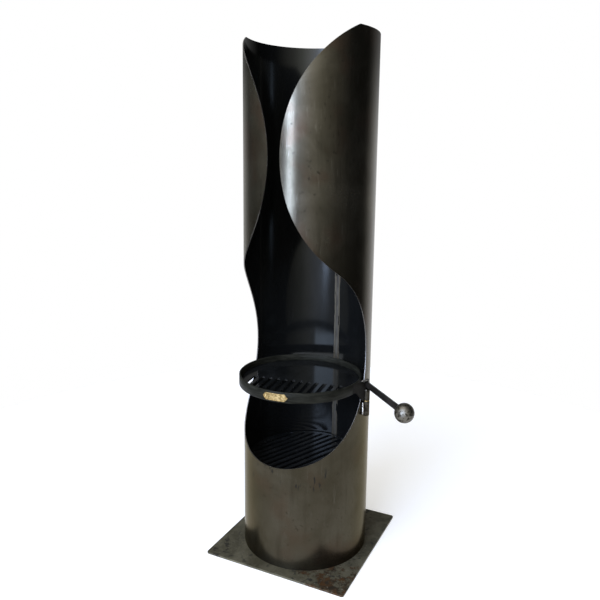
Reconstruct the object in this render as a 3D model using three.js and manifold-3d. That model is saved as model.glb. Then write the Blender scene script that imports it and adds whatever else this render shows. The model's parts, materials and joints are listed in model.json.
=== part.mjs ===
// A standing steel chiminea: a rolled sheet tube on a square base plate, with one tall wave-shaped
// opening down its front, a loose slotted fire grate, and a round barbecue rack that swings and
// lifts off on a bullet hinge welded to the outside of the tube.
// Millimetres, +Z up. The origin is the centre of the base plate's underside; the opening faces -Y.
import * as THREE from 'three';
import { mergeVertices } from 'three/addons/utils/BufferGeometryUtils.js';
import Module from 'manifold-3d';

const wasm = await Module();
wasm.setup();

// ---- Driving dimensions ----
const GAP = 0.3; // between pieces that touch
const BASE_SIDE = 468;
const BASE_THICKNESS = 6;
const BASE_CORNER = 7;
const BASE_TURN = 4.9; // degrees that the plate is turned under the tube

const TUBE_RADIUS = 200; // outside
const SHEET = 3;
const TUBE_TOP = 1588;
const TUBE_FACETS = 72;

// The opening is drawn on the flat sheet, across = distance along the girth from the front line.
// The mouth is a half round, and each leaf above it is an arc that touches the mouth's arc.
const MOUTH_RADIUS = 325;
const LEAF_RADIUS = 386;
const LEAF_ACROSS = 406;
const LEAF_HEIGHT = 1236;

const SEAM_WIDTH = 9;
const SEAM_HEIGHT = 1.2;
const FOOT_FILLET = 5;

const GRATE_TOP = 283;
const GRATE_THICKNESS = 6;
const GRATE_RADIUS = 192;
const GRATE_SLOT = { width: 12, pitch: 25, reach: 182, turn: 72.5 };
const LUG = { inner: 174, width: 22, thickness: 5, angles: [40, 130, 230, 320] };

const HINGE = { x: 210.4, y: -2, radius: 10, bore: 6.5, pin: 6 };
const HINGE_BOTTOM = 469;
const HINGE_SPLIT = 516;
const HINGE_TOP = 557;
const HINGE_FLOOR = 5;
const WASHER = 2;
const PIN_TOP = 545;

const RACK_SWING = 15; // degrees out from the middle of the tube
const RACK_REACH = 208; // hinge line to the ring's centre
const RING = { radius: 190, band: 5, bottom: 554, top: 585 };
const RACK_PLATE = { radius: 184.6, bottom: 561, thickness: 5, turn: -2 };
const RACK_SLOT = { width: 12.5, pitch: 24.8, count: 12, start: 27, reach: 175 };
const ARM = { turn: 244, thickness: 5, length: 74, foot: 520 };
const ROD = { turn: -55, height: 567.5, radius: 9 };
const BALL = { radius: 27, distance: 237, socket: 8 };
const BADGE = { turn: -96.5, width: 78, height: 21, thickness: 1.6, middle: 569 };
const RIVET = { radius: 2.6, height: 1.4, apart: 62 };

const radians = THREE.MathUtils.degToRad;

// ---- Materials ----
const steel = (color, roughness) => new THREE.MeshStandardMaterial({ color, roughness, metalness: 0.9 });
const shellSteel = steel(0x3d3a36, 0.42);
const plateSteel = steel(0x4a463f, 0.55);
const rackSteel = steel(0x33342f, 0.45);
const grateSteel = steel(0x26282a, 0.5);
const rawSteel = steel(0x8d8a85, 0.35);
const weldMetal = steel(0x6d665c, 0.5);
const brass = new THREE.MeshStandardMaterial({ color: 0xc9a35a, roughness: 0.3, metalness: 1 });

// ---- Solids ----
function solidOf(geometry) {
  const bare = geometry.clone();
  bare.deleteAttribute('normal');
  bare.deleteAttribute('uv');
  const merged = mergeVertices(bare, 1e-3);
  const index = merged.index.array;
  const triangles = [];
  for (let i = 0; i < index.length; i += 3) {
    const [a, b, c] = [index[i], index[i + 1], index[i + 2]];
    if (a !== b && b !== c && c !== a) triangles.push(a, b, c);
  }
  return new wasm.Manifold(new wasm.Mesh({
    numProp: 3,
    vertProperties: new Float32Array(merged.attributes.position.array),
    triVerts: new Uint32Array(triangles),
  }));
}

// Turns a closed profile of [radius, height] points about +Z. It is listed anticlockwise.
function revolve(profile, facets) {
  const points = profile.map(([radius, height]) => new THREE.Vector2(radius, height));
  return new THREE.LatheGeometry(points, facets).rotateX(Math.PI / 2);
}

function rod(radius, bottom, top, facets) {
  return revolve([[0, bottom], [radius, bottom], [radius, top], [0, top]], facets);
}

function hoop(inner, outer, bottom, top, facets) {
  const profile = [[inner, bottom], [outer, bottom], [outer, top], [inner, top], [inner, bottom]];
  return revolve(profile, facets);
}

function slab(shape, bottom, thickness, curveSegments) {
  const options = { depth: thickness, bevelEnabled: false, curveSegments };
  return new THREE.ExtrudeGeometry(shape, options).translate(0, 0, bottom);
}

function block(low, high) {
  const size = high.map((value, i) => value - low[i]);
  const middle = high.map((value, i) => (value + low[i]) / 2);
  return new THREE.BoxGeometry(...size).translate(...middle);
}

function addPiece(parent, name, solid, material) {
  const { vertProperties, triVerts } = solid.getMesh();
  const geometry = new THREE.BufferGeometry();
  geometry.setAttribute('position', new THREE.BufferAttribute(vertProperties, 3));
  geometry.setIndex(new THREE.BufferAttribute(triVerts, 1));
  geometry.computeVertexNormals();
  const mesh = new THREE.Mesh(geometry, material);
  mesh.name = name;
  parent.add(mesh);
  return mesh;
}

function outlineOf(points) {
  return new THREE.Shape(points.map(([x, y]) => new THREE.Vector2(x, y)));
}

// A slot with round ends between two ends on one line parallel to X.
function slotPath(from, to, y, width) {
  const round = width / 2;
  const path = new THREE.Path();
  path.moveTo(from + round, y - round);
  path.lineTo(to - round, y - round);
  path.absarc(to - round, y, round, -Math.PI / 2, Math.PI / 2, false);
  path.lineTo(from + round, y + round);
  path.absarc(from + round, y, round, Math.PI / 2, (3 * Math.PI) / 2, false);
  return path;
}

function disc(radius, facets = 72) {
  const corners = Array.from({ length: facets }, (_, i) => (2 * Math.PI * i) / facets);
  return outlineOf(corners.map((turn) => [radius * Math.cos(turn), radius * Math.sin(turn)]));
}

// ---- The tube and what is welded to it ----

// The opening's edge on the flat sheet as [across, height], from the mouth's bottom to the rim.
function openingEdge() {
  const reach = MOUTH_RADIUS + LEAF_RADIUS;
  const mouthHeight = LEAF_HEIGHT - Math.sqrt(reach ** 2 - LEAF_ACROSS ** 2);
  const touch = Math.atan2(LEAF_HEIGHT - mouthHeight, LEAF_ACROSS);
  const rimTurn = Math.asin((TUBE_TOP + 4 - LEAF_HEIGHT) / LEAF_RADIUS);
  const mouthStart = radians(-88);
  const steps = 22;
  const edge = [];
  for (let i = 0; i < steps; i += 1) {
    const turn = THREE.MathUtils.lerp(mouthStart, touch, i / steps);
    edge.push([MOUTH_RADIUS * Math.cos(turn), mouthHeight + MOUTH_RADIUS * Math.sin(turn)]);
  }
  for (let i = 0; i <= steps; i += 1) {
    const turn = THREE.MathUtils.lerp(-touch, rimTurn, i / steps);
    edge.push([LEAF_ACROSS - LEAF_RADIUS * Math.cos(turn), LEAF_HEIGHT + LEAF_RADIUS * Math.sin(turn)]);
  }
  return edge;
}

// The solid that cuts the opening: the edge's outline wrapped round the tube, thicker than the sheet.
function openingCutter() {
  const edge = openingEdge();
  const columns = 24;
  const row = 2 * (columns + 1);
  const positions = [];
  const faces = [];
  for (const [across, height] of edge) {
    for (const radius of [TUBE_RADIUS - 12, TUBE_RADIUS + 12]) {
      for (let k = 0; k <= columns; k += 1) {
        const turn = (across / TUBE_RADIUS) * ((2 * k) / columns - 1);
        positions.push(radius * Math.sin(turn), -radius * Math.cos(turn), height);
      }
    }
  }
  const quad = (a, b, c, d) => faces.push(a, b, c, a, c, d);
  const outer = columns + 1;
  const last = (edge.length - 1) * row;
  for (let k = 0; k < columns; k += 1) {
    quad(k, k + 1, outer + k + 1, outer + k);
    quad(last + k, last + outer + k, last + outer + k + 1, last + k + 1);
  }
  for (let i = 0; i < edge.length - 1; i += 1) {
    const low = i * row;
    const high = low + row;
    for (let k = 0; k < columns; k += 1) {
      quad(low + k, high + k, high + k + 1, low + k + 1);
      quad(low + outer + k, low + outer + k + 1, high + outer + k + 1, high + outer + k);
    }
    quad(low, low + outer, high + outer, high);
    quad(low + columns, high + columns, high + outer + columns, low + outer + columns);
  }
  const geometry = new THREE.BufferGeometry();
  geometry.setAttribute('position', new THREE.Float32BufferAttribute(positions, 3));
  geometry.setIndex(faces);
  return geometry;
}

function bodyShell() {
  const tube = hoop(TUBE_RADIUS - SHEET, TUBE_RADIUS, BASE_THICKNESS + GAP, TUBE_TOP, TUBE_FACETS);
  return solidOf(tube).subtract(solidOf(openingCutter()));
}

function basePlate() {
  const half = BASE_SIDE / 2;
  const inset = half - BASE_CORNER;
  const corners = [[1, 1, 0], [-1, 1, 90], [-1, -1, 180], [1, -1, 270]];
  const shape = new THREE.Shape();
  for (const [x, y, start] of corners) {
    shape.absarc(x * inset, y * inset, BASE_CORNER, radians(start), radians(start + 90), false);
  }
  return solidOf(slab(shape, 0, BASE_THICKNESS, 5));
}

function footWeld() {
  const wall = TUBE_RADIUS - SHEET - 2 * GAP;
  const floor = BASE_THICKNESS + GAP;
  const profile = [[wall - FOOT_FILLET, floor], [wall, floor], [wall, floor + FOOT_FILLET]];
  return solidOf(revolve([...profile, profile[0]], TUBE_FACETS));
}

function seamWeld() {
  const wall = TUBE_RADIUS - SHEET - GAP;
  const bottom = BASE_THICKNESS + FOOT_FILLET + 3 * GAP;
  const bead = block([-SEAM_WIDTH / 2, wall - SEAM_HEIGHT - GAP, bottom], [SEAM_WIDTH / 2, wall - GAP, TUBE_TOP]);
  return solidOf(bead);
}

function grateLug(angle) {
  const top = GRATE_TOP - GRATE_THICKNESS - GAP;
  const outer = TUBE_RADIUS - SHEET - 1;
  const half = LUG.width / 2;
  const lug = block([LUG.inner, -half, top - LUG.thickness], [outer, half, top]);
  return solidOf(lug.rotateZ(radians(angle)));
}

// ---- Fire grate ----
function fireGrate() {
  const shape = disc(GRATE_RADIUS);
  const { width, pitch, reach } = GRATE_SLOT;
  for (let y = -6.5 * pitch; y < 7 * pitch; y += pitch) {
    const end = Math.sqrt(reach ** 2 - y ** 2);
    shape.holes.push(slotPath(-end, end, y, width));
  }
  return solidOf(slab(shape, GRATE_TOP - GRATE_THICKNESS, GRATE_THICKNESS, 6));
}

// ---- Hinge, about the hinge line ----
function hingeBarrelLower() {
  const { radius, bore } = HINGE;
  const floor = HINGE_BOTTOM + HINGE_FLOOR;
  const profile = [
    [0, HINGE_BOTTOM], [radius - 1.5, HINGE_BOTTOM], [radius, HINGE_BOTTOM + 1.5],
    [radius, HINGE_SPLIT], [bore, HINGE_SPLIT], [bore, floor], [0, floor],
  ];
  return solidOf(revolve(profile, 20));
}

function hingeBarrelUpper() {
  const { radius, bore } = HINGE;
  const bottom = HINGE_SPLIT + WASHER + 2 * GAP;
  const roof = PIN_TOP + 1;
  const shoulder = HINGE_TOP - radius * 0.8;
  const profile = [[0, roof], [bore, roof], [bore, bottom], [radius, bottom], [radius, shoulder]];
  const steps = 4;
  for (let i = 1; i <= steps; i += 1) {
    const turn = (Math.PI / 2) * (i / steps);
    const out = i === steps ? 0 : radius * Math.cos(turn);
    profile.push([out, shoulder + (HINGE_TOP - shoulder) * Math.sin(turn)]);
  }
  return solidOf(revolve(profile, 20));
}

function hingePin() {
  return solidOf(rod(HINGE.pin, HINGE_BOTTOM + HINGE_FLOOR + GAP, PIN_TOP, 20));
}

function hingeWasher() {
  const bottom = HINGE_SPLIT + GAP;
  return solidOf(hoop(HINGE.bore, HINGE.radius, bottom, bottom + WASHER, 20));
}

// One fillet in the groove between the lower barrel and the tube. Side is +1 behind, -1 in front.
function hingeWeld(side) {
  const bead = rod(4, HINGE_BOTTOM + 4, HINGE_SPLIT - 4, 12).translate(HINGE.x - 6.8, HINGE.y + side * 9.8, 0);
  const barrel = rod(HINGE.radius + GAP, HINGE_BOTTOM, HINGE_SPLIT, 40).translate(HINGE.x, HINGE.y, 0);
  const tube = rod(TUBE_RADIUS + GAP, HINGE_BOTTOM, HINGE_SPLIT, TUBE_FACETS);
  return solidOf(bead).subtract(solidOf(barrel)).subtract(solidOf(tube));
}

// ---- Barbecue rack, in its own frame: the hinge line is the origin, the ring's centre lies on -X ----
function rackRing() {
  const { radius, band, bottom, top } = RING;
  return solidOf(hoop(radius - band, radius, bottom, top, 60).translate(-RACK_REACH, 0, 0));
}

// Half hot plate, half grill: the slots start just past the middle line and stop short of the ring.
function rackPlate() {
  const shape = disc(RACK_PLATE.radius);
  const { width, pitch, count, start, reach } = RACK_SLOT;
  for (let i = 0; i < count; i += 1) {
    const y = (i - (count - 1) / 2) * pitch;
    shape.holes.push(slotPath(start, Math.sqrt(reach ** 2 - y ** 2), y, width));
  }
  const plate = slab(shape, RACK_PLATE.bottom, RACK_PLATE.thickness, 6);
  plate.rotateZ(radians(RACK_PLATE.turn - 90));
  return solidOf(plate.translate(-RACK_REACH, 0, 0));
}

function rackArm() {
  const overCap = HINGE_TOP + 1.5;
  const [low, high] = [RING.bottom + 1, RING.top - 2];
  const shape = outlineOf([
    [-7, overCap], [4, overCap], [4, ARM.foot], [20, ARM.foot], [54, low],
    [ARM.length, low], [ARM.length, high], [-7, high],
  ]);
  const plate = slab(shape, -ARM.thickness / 2, ARM.thickness, 1).rotateX(Math.PI / 2).rotateZ(radians(ARM.turn));
  const barrel = rod(HINGE.radius + GAP, HINGE_SPLIT, overCap, 40);
  const ring = rod(RING.radius + GAP, RING.bottom - 1, RING.top + 1, 120).translate(-RACK_REACH, 0, 0);
  return solidOf(plate).subtract(solidOf(barrel)).subtract(solidOf(ring));
}

// A bar along +X from one distance to another, laid at the handle's height and direction.
function alongHandle(radius, from, to, facets) {
  const bar = rod(radius, from, to, facets).rotateY(Math.PI / 2);
  return bar.rotateZ(radians(ROD.turn)).translate(0, 0, ROD.height);
}

function handleRod() {
  const end = BALL.distance - BALL.radius + BALL.socket;
  const half = ARM.thickness / 2 + GAP;
  const armSide = block([-60, -40, RING.bottom - 60], [60, half, RING.top + 60]).rotateZ(radians(ARM.turn));
  return solidOf(alongHandle(ROD.radius, 0, end, 20)).subtract(solidOf(armSide));
}

function handleBall() {
  const start = BALL.distance - BALL.radius;
  const ball = new THREE.SphereGeometry(BALL.radius, 28, 18).rotateX(Math.PI / 2);
  ball.translate(BALL.distance, 0, 0).rotateZ(radians(ROD.turn)).translate(0, 0, ROD.height);
  const socket = alongHandle(ROD.radius + 2 * GAP, start - 2, start + BALL.socket + GAP, 20);
  return solidOf(ball).subtract(solidOf(socket));
}

// Places a shape drawn with X along the ring and Y up so that its +Z points out of the ring's front.
function onRingFront(geometry, turn, height) {
  const out = new THREE.Vector3(Math.cos(radians(turn)), Math.sin(radians(turn)), 0);
  const up = new THREE.Vector3(0, 0, 1);
  const along = new THREE.Vector3().crossVectors(up, out);
  const place = new THREE.Matrix4().makeBasis(along, up, out);
  return geometry.applyMatrix4(place).translate(-RACK_REACH, 0, height);
}

// A curved plate with pointed ends that lies against the ring.
function badgePlate() {
  const [side, high] = [BADGE.width / 2, BADGE.height / 2];
  const point = 9;
  const shape = outlineOf([
    [-side, 0], [-side + point, -high], [side - point, -high],
    [side, 0], [side - point, high], [-side + point, high],
  ]);
  const cutter = onRingFront(slab(shape, RING.radius - 20, 40, 1), BADGE.turn, BADGE.middle);
  const inner = RING.radius + GAP;
  const band = hoop(inner, inner + BADGE.thickness, BADGE.middle - high, BADGE.middle + high, 120);
  return solidOf(band.translate(-RACK_REACH, 0, 0)).intersect(solidOf(cutter));
}

function badgeRivet(side) {
  const { radius, height, apart } = RIVET;
  const base = RING.radius + BADGE.thickness + 2 * GAP;
  const profile = [[0, base], [radius, base], [radius * 0.75, base + height * 0.7], [0, base + height]];
  const turn = BADGE.turn + side * THREE.MathUtils.radToDeg(apart / 2 / base);
  return solidOf(onRingFront(revolve(profile, 12), turn, BADGE.middle));
}

// ---- Assembly ----
const chiminea = new THREE.Group();

const base = addPiece(chiminea, 'base_plate', basePlate(), plateSteel);
base.rotation.z = radians(BASE_TURN);
addPiece(chiminea, 'body_shell', bodyShell(), shellSteel);
addPiece(chiminea, 'foot_weld', footWeld(), weldMetal);
addPiece(chiminea, 'seam_weld', seamWeld(), weldMetal);
LUG.angles.forEach((angle, i) => {
  addPiece(chiminea, `grate_lug_${i + 1}`, grateLug(angle), plateSteel);
});

const grate = addPiece(chiminea, 'fire_grate', fireGrate(), grateSteel);
grate.rotation.z = radians(GRATE_SLOT.turn);

const hinge = new THREE.Group();
hinge.position.set(HINGE.x, HINGE.y, 0);
chiminea.add(hinge);
addPiece(hinge, 'hinge_barrel_lower', hingeBarrelLower(), rawSteel);
addPiece(hinge, 'hinge_pin', hingePin(), rawSteel);
addPiece(hinge, 'hinge_washer', hingeWasher(), brass);
addPiece(chiminea, 'hinge_weld_front', hingeWeld(-1), weldMetal);
addPiece(chiminea, 'hinge_weld_back', hingeWeld(1), weldMetal);

const rack = new THREE.Group();
rack.rotation.z = radians(RACK_SWING);
hinge.add(rack);
addPiece(rack, 'hinge_barrel_upper', hingeBarrelUpper(), rawSteel);
addPiece(rack, 'rack_arm', rackArm(), rackSteel);
addPiece(rack, 'rack_ring', rackRing(), rackSteel);
addPiece(rack, 'rack_plate', rackPlate(), rackSteel);
addPiece(rack, 'handle_rod', handleRod(), rackSteel);
addPiece(rack, 'handle_ball', handleBall(), rawSteel);
addPiece(rack, 'badge_plate', badgePlate(), brass);
addPiece(rack, 'badge_rivet_left', badgeRivet(-1), brass);
addPiece(rack, 'badge_rivet_right', badgeRivet(1), brass);

export default chiminea;
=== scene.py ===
"""A standing steel chiminea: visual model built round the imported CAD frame. Metres, +Z up, opening at -Y."""
import json
import math

import bmesh
import bpy
from mathutils import Matrix, Vector, noise


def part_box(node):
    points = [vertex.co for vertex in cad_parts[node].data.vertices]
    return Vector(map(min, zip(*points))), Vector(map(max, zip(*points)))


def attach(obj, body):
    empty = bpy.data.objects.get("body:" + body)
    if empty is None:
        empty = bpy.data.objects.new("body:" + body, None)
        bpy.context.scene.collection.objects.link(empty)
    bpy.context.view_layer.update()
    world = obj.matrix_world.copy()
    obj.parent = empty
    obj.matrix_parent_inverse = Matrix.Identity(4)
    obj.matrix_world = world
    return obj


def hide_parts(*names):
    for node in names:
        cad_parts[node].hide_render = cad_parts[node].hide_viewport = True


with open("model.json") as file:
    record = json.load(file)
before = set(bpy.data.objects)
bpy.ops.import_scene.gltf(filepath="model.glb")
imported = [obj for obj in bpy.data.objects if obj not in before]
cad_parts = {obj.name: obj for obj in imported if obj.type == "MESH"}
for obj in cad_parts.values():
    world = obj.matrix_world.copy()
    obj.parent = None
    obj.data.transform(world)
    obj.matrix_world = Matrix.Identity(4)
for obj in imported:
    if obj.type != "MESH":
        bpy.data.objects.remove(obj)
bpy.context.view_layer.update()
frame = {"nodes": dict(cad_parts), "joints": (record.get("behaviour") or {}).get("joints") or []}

# ---- Sizes that the CAD part and this scene share ----
SHEET = 0.003  # wall thickness of the tube
MOUTH_RADIUS = 0.325  # the mouth's half round, measured on the flat sheet
LEAF_RADIUS = 0.386  # the arc of each leaf above it
LEAF_ACROSS = 0.406  # leaf centre from the front line, along the girth
LEAF_HEIGHT = 1.236
SLOT_TURN = math.radians(72.5)  # direction of the fire grate's slots
BASE_TURN = math.radians(4.9)  # the base plate is turned a little under the tube
JOINT_TURN = math.radians(-73)  # where the rack ring's ends meet, about its centre
ARM_TURN = math.radians(244)  # the rack's arm, about the hinge line, in the rack's own frame
ROD_TURN = math.radians(-55)  # the handle, likewise
BORE = 0.0063  # radius of the hole for the pin in both barrels
EASED = 0.0006  # how far the edges of the sheet and the plates are eased


# ---- Places, read from the frame ----
def span(node):
    """The low corner, the high corner and the middle of a CAD node."""
    low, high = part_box(node)
    return low, high, (low + high) / 2


shell_low, shell_high, _ = span("body_shell")
TUBE_RADIUS = (shell_high.x - shell_low.x) / 2
TUBE_FOOT, TUBE_TOP = shell_low.z, shell_high.z
ring_low, ring_high, ring_mid = span("rack_ring")
RING_RADIUS = (ring_high.x - ring_low.x) / 2
hinge_joint = next(j for j in frame["joints"] if j["name"] == "rack_swing")
HINGE = Vector((*hinge_joint["pos_m"][:2], 0))
to_hinge = HINGE - Vector((ring_mid.x, ring_mid.y, 0))
RACK_REACH = to_hinge.length
RACK_TURN = math.atan2(to_hinge.y, to_hinge.x)
# The rack's own frame: the hinge line is its origin and the ring's centre lies on -X.
RACK = Matrix.Translation(HINGE) @ Matrix.Rotation(RACK_TURN, 4, "Z")
AT_HINGE = Matrix.Translation(HINGE)


# ---- Node helpers ----
class Nodes:
    """A short way to write one node tree."""

    def __init__(self, tree):
        self.tree = tree

    def add(self, kind, inputs=None, **settings):
        node = self.tree.nodes.new(kind)
        for key, value in settings.items():
            setattr(node, key, value)
        for key, value in (inputs or {}).items():
            self.feed(node.inputs[key], value)
        return node

    def feed(self, socket, value):
        if isinstance(value, bpy.types.NodeSocket):
            self.tree.links.new(value, socket)
        else:
            socket.default_value = value

    def math(self, operation, a, b=0.0):
        return self.add("ShaderNodeMath", {0: a, 1: b}, operation=operation).outputs[0]

    def vector(self, operation, a, b):
        return self.add("ShaderNodeVectorMath", {0: a, 1: b}, operation=operation).outputs[0]

    def dot(self, a, b):
        return self.add("ShaderNodeVectorMath", {0: a, 1: b}, operation="DOT_PRODUCT").outputs["Value"]

    def noise(self, where, scale, detail=4.0, roughness=0.55, distortion=0.0):
        inputs = {"Vector": where, "Scale": scale, "Detail": detail, "Roughness": roughness}
        return self.add("ShaderNodeTexNoise", {**inputs, "Distortion": distortion}).outputs["Fac"]

    def smooth(self, value, low, high):
        """0 below low and 1 above high; low may be the larger of the two."""
        inputs = {"Value": value, "From Min": low, "From Max": high}
        return self.add("ShaderNodeMapRange", inputs, interpolation_type="SMOOTHSTEP").outputs["Result"]

    def mix(self, share, a, b):
        node = self.add("ShaderNodeMix", data_type="RGBA")
        self.feed(node.inputs["Factor"], share)
        for socket, value in ((node.inputs[6], a), (node.inputs[7], b)):
            self.feed(socket, value if isinstance(value, bpy.types.NodeSocket) else (*value, 1.0))
        return node.outputs[2]


class Steel(Nodes):
    """One material's node tree."""

    def __init__(self, name):
        self.material = bpy.data.materials.new(name)
        self.material.use_nodes = True
        super().__init__(self.material.node_tree)
        self.shader = self.tree.nodes["Principled BSDF"]
        self.place = self.add("ShaderNodeTexCoord").outputs["Object"]

    def finish(self, color, roughness, metallic=1.0, bumps=(), ior=1.5, specular=0.5, tint=(1, 1, 1)):
        self.feed(self.shader.inputs["Base Color"], color)
        self.feed(self.shader.inputs["Specular Tint"], (*tint, 1) if isinstance(tint, tuple) else tint)
        self.feed(self.shader.inputs["Roughness"], roughness)
        self.shader.inputs["Metallic"].default_value = metallic
        self.shader.inputs["IOR"].default_value = ior
        self.shader.inputs["Specular IOR Level"].default_value = specular
        normal = None
        for height, strength, distance in bumps:
            inputs = {"Height": height, "Strength": strength, "Distance": distance}
            if normal is not None:
                inputs["Normal"] = normal
            normal = self.add("ShaderNodeBump", inputs).outputs["Normal"]
        if normal is not None:
            self.feed(self.shader.inputs["Normal"], normal)
        return self.material


# ---- Materials ----
def shell_outside_material():
    """Rolled mild steel with thin mill scale: grey-brown, cloudy, with upright streaks and dark drips."""
    n = Steel("shell_outside")
    upright = n.vector("MULTIPLY", n.place, (1, 1, 0.12))
    clouds = n.noise(n.place, 5.0, 5.0, 0.6, 0.4)
    streaks = n.noise(upright, 38.0, 4.0, 0.6)
    pits = n.noise(n.place, 260.0, 3.0, 0.6)
    color = n.mix(n.smooth(clouds, 0.33, 0.66), (0.052, 0.046, 0.032), (0.1, 0.09, 0.067))
    warm = n.smooth(n.noise(n.place, 7.5, 3.0, 0.5), 0.5, 0.7)
    color = n.mix(n.math("MULTIPLY", warm, 0.6), color, (0.08, 0.05, 0.034))
    color = n.mix(n.math("MULTIPLY", n.smooth(streaks, 0.48, 0.72), 0.5), color, (0.036, 0.032, 0.024))
    scuffs = n.smooth(n.noise(upright, 120.0, 3.0, 0.7), 0.6, 0.75)
    color = n.mix(n.math("MULTIPLY", scuffs, 0.45), color, (0.17, 0.16, 0.13))
    spots = n.smooth(n.noise(n.place, 95.0, 2.0, 0.5), 0.66, 0.72)
    color = n.mix(n.math("MULTIPLY", spots, 0.6), color, (0.018, 0.016, 0.012))
    parts = n.add("ShaderNodeSeparateXYZ", {0: n.place}).outputs
    height = parts["Z"]
    # Painted shade: the wall's colour darkens towards the bottom, standing in for the brighter light on its
    # upper part.
    color = n.mix(n.math("MULTIPLY", n.smooth(height, 1.4, 0.35), 0.52), color, (0.03, 0.023, 0.01))
    # Painted reflection: a dark cloudy band at the foot stands in for the dark base plate seen reflected in
    # the tube.
    foot = n.math("MULTIPLY", n.smooth(height, 0.1, 0.012), n.smooth(clouds, 0.4, 0.6))
    color = n.mix(n.math("MULTIPLY", foot, 0.2), color, (0.018, 0.017, 0.014))
    drip_zone = n.math("MULTIPLY", n.smooth(height, 0.25, 0.28), n.smooth(height, 0.345, 0.31))
    drips = n.smooth(n.noise(n.vector("MULTIPLY", n.place, (1, 1, 0.3)), 62.0, 2.0), 0.6, 0.7)
    drip_zone = n.math("MULTIPLY", drip_zone, n.smooth(parts["Y"], -0.05, -0.13))
    color = n.mix(n.math("MULTIPLY", drips, drip_zone), color, (0.02, 0.019, 0.016))
    # Painted reflection: reflections on the lower tube are tinted warm, standing in for the warm ground it
    # reflects.
    ground_reflection_tint = n.mix(n.smooth(height, 0.75, 0.42), (1, 1, 1), (0.72, 0.67, 0.56))
    rough = n.math("ADD", n.math("MULTIPLY", clouds, 0.12), n.math("MULTIPLY", pits, 0.12))
    bumps = [(pits, 0.02, 0.0004), (streaks, 0.04, 0.002)]
    return n.finish(color, n.math("ADD", rough, 0.12), 0.92, bumps, tint=ground_reflection_tint)


def shell_inside_material():
    """Glossy blue-black mill scale, ground back to bare metal along the seam at the back."""
    n = Steel("shell_inside")
    parts = n.add("ShaderNodeSeparateXYZ", {0: n.place}).outputs
    clouds = n.noise(n.vector("MULTIPLY", n.place, (1, 1, 0.35)), 9.0, 4.0, 0.6)
    color = n.mix(n.smooth(clouds, 0.35, 0.7), (0.031, 0.032, 0.03), (0.04, 0.041, 0.039))
    ragged = n.noise(n.vector("MULTIPLY", n.place, (1, 1, 0.5)), 30.0, 4.0, 0.65)
    off_seam = n.math("SUBTRACT", n.math("ABSOLUTE", parts["X"]), n.math("MULTIPLY", ragged, 0.009))
    band = n.math("MULTIPLY", n.smooth(off_seam, 0.0062, 0.0042), n.smooth(parts["Y"], 0.0, 0.05))
    torn = n.smooth(n.noise(n.vector("MULTIPLY", n.place, (1.2, 1, 0.25)), 46.0, 3.0), 0.6, 0.64)
    band = n.math("MULTIPLY", band, n.math("SUBTRACT", 1.0, torn))
    color = n.mix(band, color, (0.1, 0.086, 0.062))
    rough = n.math("ADD", 0.07, n.math("MULTIPLY", clouds, 0.12))
    rough = n.math("ADD", rough, n.math("MULTIPLY", band, 0.3))
    return n.finish(color, rough, 0.88, [(clouds, 0.02, 0.002)], 1.3)


def cut_edge_material():
    """The bright edge that the cutter left."""
    n = Steel("cut_edge")
    nicks = n.noise(n.vector("MULTIPLY", n.place, (1, 1, 3)), 420.0, 2.0)
    color = n.mix(nicks, (0.14, 0.13, 0.115), (0.34, 0.32, 0.3))
    return n.finish(color, n.math("ADD", 0.28, n.math("MULTIPLY", nicks, 0.2)), 1.0, [(nicks, 0.2, 0.0004)])


def base_plate_material():
    """Bare plate: mottled grey-brown scale and black spatter, rusty and flecked near one front corner."""
    n = Steel("base_plate_steel")
    clouds = n.noise(n.place, 11.0, 6.0, 0.65, 0.6)
    fine = n.noise(n.place, 130.0, 5.0, 0.6)
    color = n.mix(n.smooth(clouds, 0.35, 0.68), (0.056, 0.05, 0.03), (0.122, 0.109, 0.07))
    color = n.mix(n.math("MULTIPLY", n.smooth(fine, 0.5, 0.7), 0.4), color, (0.15, 0.134, 0.1))
    coarse = n.noise(n.place, 55.0, 5.0, 0.65)
    patches = n.smooth(n.noise(n.place, 14.0, 3.0), 0.45, 0.6)
    spatter = n.math("MULTIPLY", n.smooth(coarse, 0.54, 0.6), patches)
    color = n.mix(n.math("MULTIPLY", spatter, 0.85), color, (0.022, 0.02, 0.016))
    rusty_corner = (0.225, -0.2, 0.006)
    from_corner = n.vector("SUBTRACT", n.place, rusty_corner)
    away = n.add("ShaderNodeVectorMath", {0: from_corner}, operation="LENGTH").outputs["Value"]
    near = n.smooth(away, 0.2, 0.03)
    bloom = n.math("ADD", n.noise(n.place, 34.0, 5.0, 0.7), n.math("MULTIPLY", near, 0.26))
    rust = n.smooth(bloom, 0.63, 0.79)
    stained = n.mix(n.smooth(coarse, 0.4, 0.6), (0.014, 0.008, 0.004), (0.065, 0.027, 0.007))
    color = n.mix(n.math("MULTIPLY", rust, 0.85), color, stained)
    flecks = n.math("MULTIPLY", n.smooth(n.noise(n.place, 210.0, 2.0), 0.66, 0.72), near)
    color = n.mix(n.math("MULTIPLY", flecks, 0.7), color, (0.3, 0.28, 0.23))
    rough = n.math("ADD", n.math("MULTIPLY", clouds, 0.3), n.math("MULTIPLY", rust, 0.3))
    return n.finish(color, n.math("ADD", rough, 0.22), 0.35, [(fine, 0.12, 0.0012)], 1.4, 0.25)


def scale_material(name, dark, light, rough, grain_scale=240.0, metallic=0.5, specular=0.5, tint=(1, 1, 1)):
    """Satin mill scale for the rack and the grate."""
    n = Steel(name)
    clouds = n.noise(n.place, 18.0, 4.0, 0.6)
    grain = n.noise(n.place, grain_scale, 4.0, 0.6)
    color = n.mix(n.smooth(clouds, 0.35, 0.68), dark, light)
    color = n.mix(n.math("MULTIPLY", n.smooth(grain, 0.55, 0.8), 0.3), color, tuple(2.0 * c for c in light))
    roughness = n.math("ADD", rough, n.math("MULTIPLY", clouds, 0.12))
    return n.finish(color, roughness, metallic, [(grain, 0.08, 0.0008)], 1.4, specular, tint)


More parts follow.
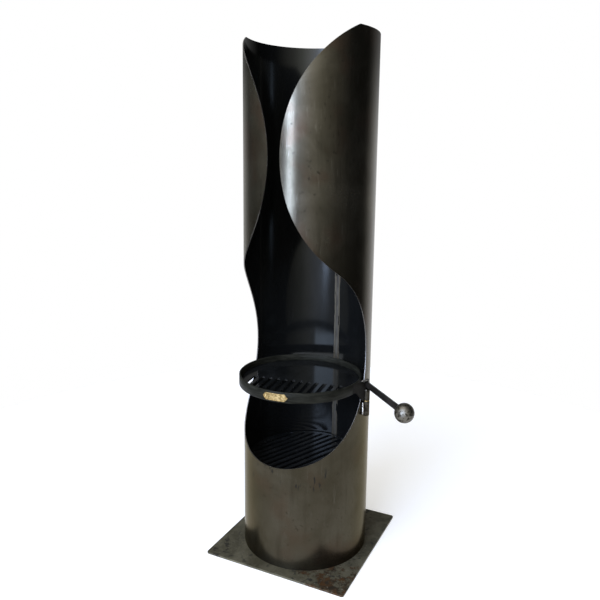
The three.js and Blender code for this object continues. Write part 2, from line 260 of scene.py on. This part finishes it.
def ring_material():
    """Dull flat bar, streaked along its length, with a dark line where its ends are butted together."""
    n = Steel("ring_steel")
    around = n.vector("SUBTRACT", n.place, tuple(ring_mid))
    streaks = n.noise(n.vector("MULTIPLY", around, (1, 1, 9)), 26.0, 5.0, 0.7)
    grain = n.noise(n.place, 300.0, 3.0, 0.6)
    color = n.mix(n.smooth(streaks, 0.3, 0.7), (0.003, 0.003, 0.002), (0.018, 0.0175, 0.0128))
    aside = n.dot(around, (-math.sin(JOINT_TURN), math.cos(JOINT_TURN), 0))
    outward = n.dot(around, (math.cos(JOINT_TURN), math.sin(JOINT_TURN), 0))
    beside = n.smooth(n.math("ABSOLUTE", aside), 0.0032, 0.0012)
    line = n.math("MULTIPLY", beside, n.smooth(outward, 0.0, 0.05))
    color = n.mix(n.math("MULTIPLY", line, 0.6), color, (0.004, 0.004, 0.003))
    rough = n.math("ADD", 0.42, n.math("MULTIPLY", grain, 0.15))
    return n.finish(color, rough, 0.0, [(grain, 0.08, 0.0006)], 1.4, 0.12, (1, 0.96, 0.8))


def ball_material():
    """A dull polished steel ball, freckled with darker spots."""
    n = Steel("ball_steel")
    spots = n.noise(n.place, 140.0, 4.0, 0.7)
    clouds = n.noise(n.place, 36.0, 3.0)
    color = n.mix(clouds, (0.12, 0.108, 0.085), (0.21, 0.19, 0.155))
    color = n.mix(n.smooth(spots, 0.5, 0.6), color, (0.035, 0.03, 0.022))
    return n.finish(color, n.math("ADD", 0.34, n.math("MULTIPLY", spots, 0.2)), 1.0, [(spots, 0.25, 0.001)])


def hinge_material(name, heated):
    """Turned bright steel; heated says how much brown the welding left on it."""
    n = Steel(name)
    turned = n.noise(n.vector("MULTIPLY", n.place, (1, 1, 12)), 90.0, 3.0)
    heat = n.noise(n.place, 60.0, 3.0, 0.6)
    color = n.mix(turned, (0.048, 0.042, 0.031), (0.088, 0.08, 0.064))
    color = n.mix(n.math("MULTIPLY", n.smooth(heat, 0.3, 0.6), heated), color, (0.009, 0.007, 0.004))
    rough = n.math("ADD", 0.22, n.math("MULTIPLY", turned, 0.15))
    return n.finish(color, rough, 1.0, [(turned, 0.05, 0.0004)], tint=(0.6, 0.52, 0.4))


def weld_material():
    n = Steel("weld_metal")
    burn = n.noise(n.place, 70.0, 4.0, 0.65)
    color = n.mix(n.smooth(burn, 0.4, 0.62), (0.6, 0.57, 0.52), (0.12, 0.1, 0.075))
    return n.finish(color, n.math("ADD", 0.25, n.math("MULTIPLY", burn, 0.3)), 1.0, [(burn, 0.2, 0.0006)])


def brass_material():
    """Polished brass, a little tarnished."""
    n = Steel("brass")
    tarnish = n.noise(n.place, 120.0, 4.0, 0.6)
    color = n.mix(n.smooth(tarnish, 0.4, 0.62), (0.62, 0.46, 0.21), (0.25, 0.165, 0.06))
    rough = n.math("ADD", 0.2, n.math("MULTIPLY", tarnish, 0.25))
    return n.finish(color, rough, 1.0, [(tarnish, 0.1, 0.0005)])


# ---- Mesh helpers ----
def finish_piece(name, mesh, materials, body, nodes, bevel=0.0, angle=40):
    """Makes the object, smooths it, hangs it on the body it rides on and hides the CAD nodes it replaces."""
    mesh.validate()
    for polygon in mesh.polygons:
        polygon.use_smooth = True
    mesh.set_sharp_from_angle(angle=math.radians(angle))
    piece = bpy.data.objects.new(name, mesh)
    for material in materials:
        mesh.materials.append(material)
    bpy.context.scene.collection.objects.link(piece)
    if bevel:
        modifier = piece.modifiers.new("edge", "BEVEL")
        modifier.width = bevel
        modifier.segments = 2
        modifier.limit_method = "ANGLE"
        modifier.angle_limit = math.radians(angle)
        modifier.harden_normals = True
    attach(piece, body)
    if nodes:
        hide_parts(*nodes)


def mesh_from(name, verts, faces, materials=None):
    mesh = bpy.data.meshes.new(name)
    mesh.from_pydata([tuple(v) for v in verts], [], faces)
    for polygon, index in zip(mesh.polygons, materials or []):
        polygon.material_index = index
    return mesh


def lathe(name, profile, steps, place):
    """Turns [radius, height] points about Z.

    The profile runs anticlockwise; a closed one repeats its start.
    """
    closed = profile[0] == profile[-1]
    points = profile[:-1] if closed else profile
    verts, rings = [], []
    for radius, height in points:
        if radius < 1e-7:
            rings.append([len(verts)] * steps)
            verts.append(place @ Vector((0, 0, height)))
            continue
        rings.append(list(range(len(verts), len(verts) + steps)))
        for k in range(steps):
            turn = 2 * math.pi * k / steps
            verts.append(place @ Vector((radius * math.cos(turn), radius * math.sin(turn), height)))
    faces = []
    for i in range(len(points) if closed else len(points) - 1):
        low, high = rings[i], rings[(i + 1) % len(points)]
        for k in range(steps):
            j = (k + 1) % steps
            face = list(dict.fromkeys([low[k], low[j], high[j], high[k]]))
            if len(face) > 2:
                faces.append(face)
    return mesh_from(name, verts, faces)


def cut_plate(name, outlines, thickness, bevel, place):
    """A flat plate from closed outlines, the first the outside and the rest holes, with rounded edges."""
    curve = bpy.data.curves.new(name, "CURVE")
    curve.dimensions = "2D"
    curve.fill_mode = "BOTH"
    curve.extrude = thickness / 2 - bevel
    curve.bevel_depth = bevel
    curve.bevel_resolution = 1
    curve.offset = -bevel
    for outline in outlines:
        spline = curve.splines.new("POLY")
        spline.points.add(len(outline) - 1)
        spline.use_cyclic_u = True
        for point, (x, y) in zip(spline.points, outline):
            point.co = (x, y, 0, 1)
    holder = bpy.data.objects.new(name, curve)
    bpy.context.scene.collection.objects.link(holder)
    bpy.context.view_layer.update()
    evaluated = holder.evaluated_get(bpy.context.evaluated_depsgraph_get())
    mesh = bpy.data.meshes.new_from_object(evaluated)
    bpy.data.objects.remove(holder)
    mesh.materials.clear()
    mesh.transform(place)
    return mesh


def circle(radius, steps, start=0.0, stop=2 * math.pi, centre=(0, 0)):
    span_turn = stop - start
    whole = abs(span_turn - 2 * math.pi) < 1e-6
    count = steps if whole else steps + 1
    turns = [start + span_turn * k / steps for k in range(count)]
    return [(centre[0] + radius * math.cos(t), centre[1] + radius * math.sin(t)) for t in turns]


def slot_outline(x_from, x_to, y, width):
    round_end = width / 2
    right = circle(round_end, 8, -math.pi / 2, math.pi / 2, (x_to - round_end, y))
    left = circle(round_end, 8, math.pi / 2, 3 * math.pi / 2, (x_from + round_end, y))
    return right + left


def weld_bead(name, path, radius, seed):
    """A rippled bead along a path: overlapping scales, each a little proud of the last."""
    verts, faces, around = [], [], 10
    steps = len(path)
    for i, point in enumerate(path):
        ahead = (path[min(i + 1, steps - 1)] - path[max(i - 1, 0)]).normalized()
        side = ahead.orthogonal().normalized()
        up = ahead.cross(side)
        end = min(1.0, 0.35 + min(i, steps - 1 - i) / 3)
        ripple = 1 + 0.13 * (2 * (i % 4) / 3 - 1) + 0.2 * noise.noise(point * 300 + Vector((seed, 0, 0)))
        for k in range(around):
            turn = 2 * math.pi * k / around
            out = side * math.cos(turn) + up * math.sin(turn)
            verts.append(point + out * radius * end * ripple)
    for i in range(steps - 1):
        for k in range(around):
            a, b = i * around + k, i * around + (k + 1) % around
            faces.append((a, b, b + around, a + around))
    faces.append(tuple(reversed(range(around))))
    faces.append(tuple((steps - 1) * around + k for k in range(around)))
    return mesh_from(name, verts, faces)


# ---- Body shell ----
def opening_rows():
    """[half angle of the opening, height] from the mouth's bottom to the rim."""
    reach = MOUTH_RADIUS + LEAF_RADIUS
    mouth_height = LEAF_HEIGHT - math.sqrt(reach**2 - LEAF_ACROSS**2)
    touch = math.atan2(LEAF_HEIGHT - mouth_height, LEAF_ACROSS)
    rim = math.asin((TUBE_TOP - LEAF_HEIGHT) / LEAF_RADIUS)
    steps = 72
    rows = [(0.0, mouth_height - MOUTH_RADIUS)]
    for i in range(1, steps):
        turn = -math.pi / 2 + (touch + math.pi / 2) * i / steps
        across, up = MOUTH_RADIUS * math.cos(turn), MOUTH_RADIUS * math.sin(turn)
        rows.append((across / TUBE_RADIUS, mouth_height + up))
    for i in range(steps + 1):
        turn = -touch + (rim + touch) * i / steps
        across, up = LEAF_ACROSS - LEAF_RADIUS * math.cos(turn), LEAF_RADIUS * math.sin(turn)
        rows.append((across / TUBE_RADIUS, LEAF_HEIGHT + up))
    return rows


OUTSIDE, INSIDE, CUT = 0, 1, 2  # the shell's materials


def body_shell_mesh():
    """The rolled sheet: whole rows below the mouth, then rows that stop at the opening's edges."""
    open_rows = opening_rows()
    closed_count = 26
    rise = open_rows[0][1] - TUBE_FOOT
    rows = [(0.0, TUBE_FOOT + rise * i / closed_count) for i in range(closed_count)] + open_rows
    columns = 192
    verts, grid = [], []
    for radius in (TUBE_RADIUS, TUBE_RADIUS - SHEET):
        layer = []
        for half, height in rows:
            line = []
            for k in range(columns + 1):
                if k == columns and half == 0.0:
                    line.append(line[0])
                    continue
                turn = half + (2 * math.pi - 2 * half) * k / columns
                line.append(len(verts))
                verts.append((radius * math.sin(turn), -radius * math.cos(turn), height))
            layer.append(line)
        grid.append(layer)
    outer, inner = grid
    faces, kinds = [], []

    def face(kind, *corners):
        faces.append(corners)
        kinds.append(kind)

    last = len(rows) - 1
    for i in range(last):
        for k in range(columns):
            face(OUTSIDE, outer[i][k], outer[i][k + 1], outer[i + 1][k + 1], outer[i + 1][k])
            face(INSIDE, inner[i][k], inner[i + 1][k], inner[i + 1][k + 1], inner[i][k + 1])
        if i >= closed_count:
            face(CUT, outer[i][0], outer[i + 1][0], inner[i + 1][0], inner[i][0])
            face(CUT, outer[i][columns], inner[i][columns], inner[i + 1][columns], outer[i + 1][columns])
    for k in range(columns):
        face(CUT, outer[0][k], inner[0][k], inner[0][k + 1], outer[0][k + 1])
        face(CUT, outer[last][k], outer[last][k + 1], inner[last][k + 1], inner[last][k])
    return mesh_from("body_shell_visual", verts, faces, kinds)


def build_shell():
    materials = [shell_outside_material(), shell_inside_material(), cut_edge_material()]
    shell = body_shell_mesh()
    finish_piece("body_shell_visual", shell, materials, "body", ["body_shell"], EASED, 50)


def build_seam():
    """The weld up the inside of the back: a low uneven bead."""
    low, high, _ = span("seam_weld")
    count = 420
    wall = TUBE_RADIUS - SHEET
    rows = []
    for i in range(count + 1):
        height = low.z + (high.z - low.z) * i / count
        wander = 0.0007 * noise.noise(Vector((0, 3.1, height * 9)))
        width = 0.0042 + 0.0006 * noise.noise(Vector((5.2, 0, height * 60)))
        ripple = 0.00025 * math.sin(height * 1500)
        proud = 0.0011 + ripple + 0.0002 * noise.noise(Vector((0, 0, height * 200)))
        rows.append((height, wander, width, proud))
    verts, faces, across = [], [], 8
    for height, wander, width, proud in rows:
        for k in range(across + 1):
            share = 2 * k / across - 1
            x = wander + width * share
            lift = proud * math.sqrt(max(0.0, 1 - share * share))
            verts.append((x, math.sqrt(wall**2 - x * x) + 0.0002 - lift, height))
        verts.append((wander, wall + 0.0012, height))
    ring = across + 2
    for i in range(count):
        for k in range(ring):
            a, b = i * ring + k, i * ring + (k + 1) % ring
            faces.append((a, a + ring, b + ring, b))
    faces.append(tuple(range(ring)))
    faces.append(tuple(reversed([count * ring + k for k in range(ring)])))
    mesh = mesh_from("seam_weld_visual", verts, faces)
    finish_piece("seam_weld_visual", mesh, [SEAM_STEEL], "body", ["seam_weld"], angle=70)


# ---- Base plate ----
def build_base():
    low, high, middle = span("base_plate")
    half = (high.x - low.x) / 2 / (math.cos(BASE_TURN) + math.sin(BASE_TURN))
    corner = 0.007
    inset = half - corner
    outline = []
    for quarter, (x, y) in enumerate([(1, 1), (-1, 1), (-1, -1), (1, -1)]):
        start = quarter * math.pi / 2
        outline += circle(corner, 8, start, start + math.pi / 2, (x * inset, y * inset))
    place = Matrix.Translation((0, 0, middle.z)) @ Matrix.Rotation(BASE_TURN, 4, "Z")
    mesh = cut_plate("base_plate_visual", [outline], high.z - low.z, EASED, place)
    finish_piece("base_plate_visual", mesh, [base_plate_material()], "body", ["base_plate"])


# ---- Fire grate ----
def build_grate():
    low, high, middle = span("fire_grate")
    radius = (high.x - low.x) / 2
    pitch, width, reach = 0.025, 0.012, 0.182
    outlines = [circle(radius, 144)]
    for i in range(14):
        y = (i - 6.5) * pitch
        end = math.sqrt(reach**2 - y * y)
        outlines.append(slot_outline(-end, end, y, width))
    place = Matrix.Translation((0, 0, middle.z)) @ Matrix.Rotation(SLOT_TURN, 4, "Z")
    mesh = cut_plate("fire_grate_visual", outlines, high.z - low.z, EASED, place)
    steel = scale_material("grate_scale", (0.014, 0.015, 0.015), (0.022, 0.023, 0.023), 0.2)
    finish_piece("fire_grate_visual", mesh, [steel], "grate", ["fire_grate"])


# ---- Rack ----
def build_ring():
    bottom, top = ring_low.z, ring_high.z
    outer, inner, edge = RING_RADIUS, RING_RADIUS - 0.005, 0.0007
    profile = [
        (inner, bottom + edge), (inner + edge, bottom), (outer - edge, bottom), (outer, bottom + edge),
        (outer, top - edge), (outer - edge, top), (inner + edge, top), (inner, top - edge),
        (inner, bottom + edge),
    ]
    mesh = lathe("rack_ring_visual", profile, 200, RACK @ Matrix.Translation((-RACK_REACH, 0, 0)))
    finish_piece("rack_ring_visual", mesh, [ring_material()], "rack", ["rack_ring"], angle=50)


def build_rack_plate():
    low, high, middle = span("rack_plate")
    radius, reach = RING_RADIUS - 0.0052, 0.175
    pitch, width, start, count = 0.0248, 0.0125, 0.027, 12
    outlines = [circle(radius, 144)]
    for i in range(count):
        y = (i - (count - 1) / 2) * pitch
        outlines.append(slot_outline(start, math.sqrt(reach**2 - y * y), y, width))
    turn = Matrix.Rotation(math.radians(-92), 4, "Z")
    place = RACK @ Matrix.Translation((-RACK_REACH, 0, middle.z)) @ turn
    mesh = cut_plate("rack_plate_visual", outlines, high.z - low.z, EASED, place)
    steel = scale_material(
        "rack_plate_scale", (0.007, 0.0075, 0.0075), (0.011, 0.0115, 0.0115), 0.06,
        grain_scale=400.0, metallic=0.35, specular=0.4, tint=(0.8, 0.8, 0.75),
    )
    finish_piece("rack_plate_visual", mesh, [steel], "rack", ["rack_plate"])


def build_arm():
    low, high, _ = span("rack_arm")
    over_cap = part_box("hinge_barrel_upper")[1].z + 0.001
    barrel, ring_end = 0.0098, 0.071
    bottom = ring_low.z + 0.001
    outline = [
        (-0.007, over_cap), (barrel, over_cap), (barrel, low.z), (0.02, low.z), (0.054, bottom),
        (ring_end, bottom), (ring_end, high.z), (-0.007, high.z),
    ]
    upright = Matrix.Rotation(ARM_TURN, 4, "Z") @ Matrix.Rotation(math.pi / 2, 4, "X")
    mesh = cut_plate("rack_arm_visual", [outline], 0.005, 0.0005, RACK @ upright)
    finish_piece("rack_arm_visual", mesh, [RACK_STEEL], "rack", ["rack_arm"])
    turn = Vector((math.cos(ARM_TURN), math.sin(ARM_TURN), 0))
    crest = [RACK @ (turn * (0.002 * i - 0.004) + Vector((0, 0, high.z - 0.0015))) for i in range(16)]
    bead = weld_bead("rack_arm_weld", crest, 0.0034, 11)
    finish_piece("rack_arm_weld", bead, [WELD], "rack", [], angle=80)


def along_handle(height):
    """Lays a lathed piece along the handle, its start on the hinge line."""
    turn = Matrix.Rotation(ROD_TURN, 4, "Z") @ Matrix.Rotation(math.pi / 2, 4, "Y")
    return RACK @ Matrix.Translation((0, 0, height)) @ turn


def build_handle():
    low, high, middle = span("handle_rod")
    ball_low, ball_high, ball_mid = span("handle_ball")
    radius = (high.z - low.z) / 2
    ball = (ball_high.z - ball_low.z) / 2
    away = (Vector((ball_mid.x, ball_mid.y, 0)) - HINGE).length
    meet = away - math.sqrt(ball**2 - radius**2)
    place = along_handle(middle.z)
    start, end, chamfer = 0.0035, meet + 0.004, 0.001
    profile = [(0, start), (radius - chamfer, start), (radius, start + chamfer), (radius, end), (0, end)]
    rod = lathe("handle_rod_visual", profile, 48, place)
    finish_piece("handle_rod_visual", rod, [ROD_STEEL], "rack", ["handle_rod"], angle=50)
    points = []
    for i in range(49):
        turn = math.pi * i / 48
        points.append((ball * math.sin(turn), away - ball * math.cos(turn)))
    points[0], points[-1] = (0, away - ball), (0, away + ball)
    sphere = lathe("handle_ball_visual", points, 96, place)
    steel = ball_material()
    finish_piece("handle_ball_visual", sphere, [steel], "rack", ["handle_ball"], angle=80)
    round_rod = circle(radius * 1.02, 60)
    ring = [place @ Vector((x, y, meet + 0.0004)) for x, y in round_rod + round_rod[:1]]
    bead = weld_bead("handle_ball_weld", ring, 0.0016, 2)
    finish_piece("handle_ball_weld", bead, [ROD_STEEL], "rack", [], angle=80)


# ---- Hinge ----
def build_hinge():
    low, high, _ = span("hinge_barrel_lower")
    radius = (high.x - low.x) / 2
    edge = 0.0012
    floor = low.z + 0.005
    profile = [
        (0, low.z), (radius - 0.002, low.z), (radius - 0.0006, low.z + 0.0008), (radius, low.z + 0.0022),
        (radius, high.z - edge), (radius - edge, high.z), (BORE, high.z), (BORE, floor), (0, floor),
    ]
    lower = lathe("hinge_lower_visual", profile, 48, AT_HINGE)
    tinted = hinge_material("hinge_tinted", 0.9)
    finish_piece("hinge_lower_visual", lower, [tinted], "body", ["hinge_barrel_lower"])

    low, high, _ = span("hinge_barrel_upper")
    shoulder = high.z - 0.0078
    dome = radius - 0.0001
    roof = high.z - 0.011  # 1 mm over the pin's top
    profile = [
        (0, roof), (BORE, roof), (BORE, low.z), (radius - edge, low.z), (radius, low.z + edge),
        (radius, shoulder - edge), (radius - 0.0007, shoulder - 0.0004), (dome, shoulder + 0.0006),
    ]
    steps = 10
    for i in range(1, steps + 1):
        turn = math.pi / 2 * i / steps
        out = 0 if i == steps else dome * math.cos(turn)
        profile.append((out, shoulder + (high.z - shoulder) * math.sin(turn)))
    upper = lathe("hinge_upper_visual", profile, 48, AT_HINGE)
    bright = hinge_material("hinge_bright", 0.4)
    finish_piece("hinge_upper_visual", upper, [bright], "rack", ["hinge_barrel_upper"])

    low, high, _ = span("hinge_pin")
    pin_radius = (high.x - low.x) / 2
    chamfer = 0.0015
    profile = [
        (0, low.z), (pin_radius, low.z), (pin_radius, high.z - chamfer), (pin_radius - chamfer, high.z),
        (0, high.z),
    ]
    pin = lathe("hinge_pin_visual", profile, 40, AT_HINGE)
    finish_piece("hinge_pin_visual", pin, [bright], "body", ["hinge_pin"])

    low, high, _ = span("hinge_washer")
    rim = (high.x - low.x) / 2
    hole, lip = 0.0064, 0.0003
    profile = [
        (hole, low.z + lip), (hole + lip, low.z), (rim - lip, low.z), (rim, low.z + lip),
        (rim, high.z - lip), (rim - lip, high.z), (hole + lip, high.z), (hole, high.z - lip),
        (hole, low.z + lip),
    ]
    washer = lathe("hinge_washer_visual", profile, 48, AT_HINGE)
    finish_piece("hinge_washer_visual", washer, [BRASS], "washer", ["hinge_washer"])


def build_welds():
    for side, node in ((-1, "hinge_weld_front"), (1, "hinge_weld_back")):
        low, high, middle = span(node)
        count = 36
        path = []
        for i in range(count):
            height = low.z + (high.z - low.z) * i / (count - 1)
            path.append(Vector((middle.x + 0.0006, middle.y, height)))
        bead = weld_bead(node + "_visual", path, 0.0036, 3 + side)
        finish_piece(node + "_visual", bead, [WELD], "body", [node], angle=80)
    low = span("foot_weld")[0]
    radius = TUBE_RADIUS - SHEET - 0.0016
    foot = circle(radius, 360)
    path = [Vector((x, y, low.z + 0.0016)) for x, y in foot + foot[:1]]
    bead = weld_bead("foot_weld_visual", path, 0.003, 8)
    finish_piece("foot_weld_visual", bead, [WELD], "body", ["foot_weld"], angle=80)


# ---- Badge ----
def badge_outline(side, high, point):
    """From the half-width, the half-height and how far the ends run to a point."""
    outline = [(-side, 0), (-side + point, -high), (side - point, -high), (side, 0), (side - point, high)]
    return outline + [(-side + point, high)]


def build_badge():
    low, high, middle = span("badge_plate")
    turn = math.atan2(middle.y - ring_mid.y, middle.x - ring_mid.x)
    half_high = (high.z - low.z) / 2
    side, base = 0.0385, RING_RADIUS + 0.0002
    steps = 20

    def on_ring(x, y, lift):
        angle = turn + x / RING_RADIUS
        out = base + lift
        return (ring_mid.x + out * math.cos(angle), ring_mid.y + out * math.sin(angle), middle.z + y)

    # Bands from the outside in: [share of the way in, height above the ring]
    bands = [(0.0, 0.0), (0.0, 0.0014), (0.05, 0.0018), (0.13, 0.0018), (0.19, 0.0009), (1.0, 0.0009)]
    corners = badge_outline(side, half_high, 0.009)
    loop = []
    for i, (x, y) in enumerate(corners):
        x2, y2 = corners[(i + 1) % len(corners)]
        loop += [(x + (x2 - x) * k / steps, y + (y2 - y) * k / steps) for k in range(steps)]
    verts, faces = [], []
    for inward, lift in bands:
        for x, y in loop:
            spine = max(-side + half_high, min(side - half_high, x))
            verts.append(on_ring(x + (spine - x) * inward, y * (1 - inward), lift))
    count = len(loop)
    for b in range(len(bands) - 1):
        for k in range(count):
            a, c = b * count + k, b * count + (k + 1) % count
            faces.append((a, c, c + count, a + count))
    faces.append(tuple(reversed(range(count))))
    mesh = mesh_from("badge_visual", verts, faces)
    finish_piece("badge_visual", mesh, [BRASS], "rack", ["badge_plate"], angle=35)

    for name in ("badge_rivet_left", "badge_rivet_right"):
        middle_rivet = span(name)[2]
        out = Vector((middle_rivet.x - ring_mid.x, middle_rivet.y - ring_mid.y, 0))
        angle = math.atan2(out.y, out.x)
        start = base + 0.0008
        place = Matrix.Translation((ring_mid.x, ring_mid.y, middle_rivet.z))
        place = place @ Matrix.Rotation(angle, 4, "Z") @ Matrix.Rotation(math.pi / 2, 4, "Y")
        profile = [(0, start), (0.0024, start)]
        for i in range(1, 7):
            bend = math.pi / 2 * i / 6
            profile.append((0 if i == 6 else 0.0024 * math.cos(bend), start + 0.0014 * math.sin(bend)))
        rivet = lathe(name + "_visual", profile, 24, place)
        finish_piece(name + "_visual", rivet, [BRASS], "rack", [name], angle=70)


def build_lugs():
    """The four lugs keep their CAD shape, with their edges eased."""
    for i in range(1, 5):
        lug = frame["nodes"][f"grate_lug_{i}"]
        lug.data.materials.clear()
        lug.data.materials.append(GRATE_STEEL)
        modifier = lug.modifiers.new("edge", "BEVEL")
        modifier.width = 0.0007
        modifier.segments = 2


# ---- Studio ----
def build_floor():
    rim = [(x, y, 0) for x, y in circle(1.85, 96)]
    mesh = mesh_from("floor", rim, [tuple(range(96))])
    floor = bpy.data.objects.new("floor", mesh)
    bpy.context.scene.collection.objects.link(floor)
    material = bpy.data.materials.new("floor_paper")
    material.use_nodes = True
    shader = material.node_tree.nodes["Principled BSDF"]
    shader.inputs["Base Color"].default_value = (0.6, 0.6, 0.595, 1)
    shader.inputs["Emission Color"].default_value = (1, 0.99, 0.97, 1)
    shader.inputs["Emission Strength"].default_value = 0.53
    shader.inputs["Roughness"].default_value = 0.9
    shader.inputs["Specular IOR Level"].default_value = 0.1
    mesh.materials.append(material)


def area_light(name, place, target, size, power):
    light = bpy.data.lights.new(name, "AREA")
    light.shape = "RECTANGLE"
    light.size, light.size_y = size
    light.energy = power
    lamp = bpy.data.objects.new(name, light)
    lamp.location = place
    lamp.rotation_euler = (Vector(target) - Vector(place)).to_track_quat("-Z", "Y").to_euler()
    bpy.context.scene.collection.objects.link(lamp)


# What stands round the object, as [degrees from straight ahead of the mouth, brightness, colour].
# The degrees grow towards the hinge's side.
SURROUNDINGS = (
    (-180, 0.85, (1, 1, 1)), (-150, 0.75, (1, 1, 1)), (-112, 0.55, (1, 1, 0.97)),
    (-94, 0.12, (1, 1, 0.85)), (-70, 0.2, (1, 1, 0.85)), (-45, 0.4, (1, 1, 0.95)),
    (-12, 0.8, (0.95, 1, 1.15)), (3, 1.5, (0.9, 1, 1.25)), (18, 1.4, (0.95, 1, 1.15)),
    (32, 1.1, (1, 1, 1)), (46, 0.6, (1, 1, 0.9)), (62, 0.32, (1, 0.97, 0.85)),
    (82, 0.12, (1, 0.95, 0.8)), (104, 0.03, (1, 1, 0.9)), (128, 0.015, (1, 1, 1)),
    (140, 0.04, (1, 1, 1)), (152, 0.55, (1, 1, 1)), (168, 0.9, (1, 1, 1)),
)
SKY_COLOR = (0.6, 0.75, 1.1, 1)
GAP_GLOW, SKY_GLOW = 27.0, 11.0  # a narrow low window of sky, and a wide high one


def build_world():
    """A pale room, bright ahead of the mouth and behind, dark at both sides, and white to the camera."""
    world = bpy.data.worlds.new("studio")
    bpy.context.scene.world = world
    world.use_nodes = True
    n = Nodes(world.node_tree)
    n.tree.nodes.clear()
    toward = n.add("ShaderNodeSeparateXYZ", {0: n.add("ShaderNodeTexCoord").outputs["Generated"]}).outputs
    ahead = n.math("MULTIPLY", toward["Y"], -1.0)
    turn = n.math("ARCTAN2", toward["X"], ahead)
    ramp = n.add("ShaderNodeValToRGB", {0: n.math("ADD", n.math("DIVIDE", turn, 2 * math.pi), 0.5)})
    stops = ramp.color_ramp.elements
    while len(stops) < len(SURROUNDINGS):
        stops.new(0.5)
    for stop, (degrees, bright, tint) in zip(stops, SURROUNDINGS):
        stop.position = (degrees + 180) / 360
        stop.color = (*(bright * c for c in tint), 1)
    rise = n.math("ADD", 0.45, n.math("MULTIPLY", n.smooth(toward["Z"], -0.2, 0.2), 1.25))
    fall = n.math("SUBTRACT", 1.0, n.math("MULTIPLY", n.smooth(toward["Z"], 0.0, 0.2), 0.78))
    in_front = n.smooth(ahead, -0.2, 0.2)
    behind = n.math("SUBTRACT", 1, in_front)
    level = n.math("ADD", n.math("MULTIPLY", rise, in_front), n.math("MULTIPLY", fall, behind))

    def pane(middle, half, low, high, soft):
        """1 inside a window of sky between two heights (sines), either side of a direction (degrees)."""
        aside = n.math("ABSOLUTE", n.math("SUBTRACT", turn, math.radians(middle)))
        side = n.smooth(aside, math.radians(half) * (1 + soft), math.radians(half) * (1 - soft))
        bottom = n.smooth(toward["Z"], low - 0.03, low + 0.03)
        top = n.smooth(toward["Z"], high + 0.05, high - 0.05)
        return n.math("MULTIPLY", side, n.math("MULTIPLY", bottom, top))

    room = n.add("ShaderNodeBackground", {"Color": ramp.outputs[0], "Strength": level})
    gap = n.math("MULTIPLY", pane(-3, 5, -0.11, 0.16, 0.4), GAP_GLOW)
    sky = n.math("MULTIPLY", pane(-4, 20, 0.21, 0.65, 0.1), SKY_GLOW)
    panes = n.add("ShaderNodeBackground", {"Color": SKY_COLOR, "Strength": n.math("ADD", gap, sky)})
    lit = n.add("ShaderNodeAddShader", {0: room.outputs[0], 1: panes.outputs[0]})
    seen = n.add("ShaderNodeBackground", {"Color": (1, 1, 1, 1)})
    camera_ray = n.add("ShaderNodeLightPath").outputs["Is Camera Ray"]
    mix = n.add("ShaderNodeMixShader", {0: camera_ray, 1: lit.outputs[0], 2: seen.outputs[0]})
    n.add("ShaderNodeOutputWorld", {"Surface": mix.outputs[0]})


def build_lights():
    area_light("overhead", (-0.8, -1.2, 4.2), (0, 0, 0.4), (3.0, 3.0), 45)


def build_camera():
    """The photograph's view: azimuth, distance, height and tilt about the tube's centre line."""
    azimuth, heading = math.radians(30.31), math.radians(30.16)
    distance, height, tilt, roll = 1.8906, 1.1994, math.radians(10.01), math.radians(0.81)
    data = bpy.data.cameras.new("camera")
    data.lens = 37.06
    data.sensor_width = 36.0
    data.shift_x = -1 / 60
    data.shift_y = -1 / 30
    camera = bpy.data.objects.new("camera", data)
    turn = Matrix.Rotation(heading, 4, "Z") @ Matrix.Rotation(math.pi / 2 - tilt, 4, "X")
    place = Matrix.Translation((distance * math.sin(azimuth), -distance * math.cos(azimuth), height))
    camera.matrix_world = place @ turn @ Matrix.Rotation(roll, 4, "Z")
    bpy.context.scene.collection.objects.link(camera)
    bpy.context.scene.camera = camera


build_camera()
RACK_STEEL = scale_material(
    "rack_scale", (0.007, 0.006, 0.0045), (0.014, 0.0125, 0.0095), 0.45, metallic=0.1, specular=0.08)
ROD_STEEL = scale_material(
    "rod_scale", (0.01, 0.0085, 0.007), (0.024, 0.02, 0.017), 0.36, metallic=0.15, specular=0.18)
GRATE_STEEL = scale_material("lug_scale", (0.016, 0.016, 0.016), (0.026, 0.026, 0.026), 0.35)
SEAM_STEEL = scale_material("seam_steel", (0.042, 0.036, 0.027), (0.08, 0.07, 0.053), 0.4)
WELD = weld_material()
BRASS = brass_material()
build_shell()
build_seam()
build_base()
build_grate()
build_lugs()
build_ring()
build_rack_plate()
build_arm()
build_handle()
build_hinge()
build_welds()
build_badge()
build_floor()
build_world()
build_lights()
bpy.context.scene.view_settings.view_transform = "Standard"
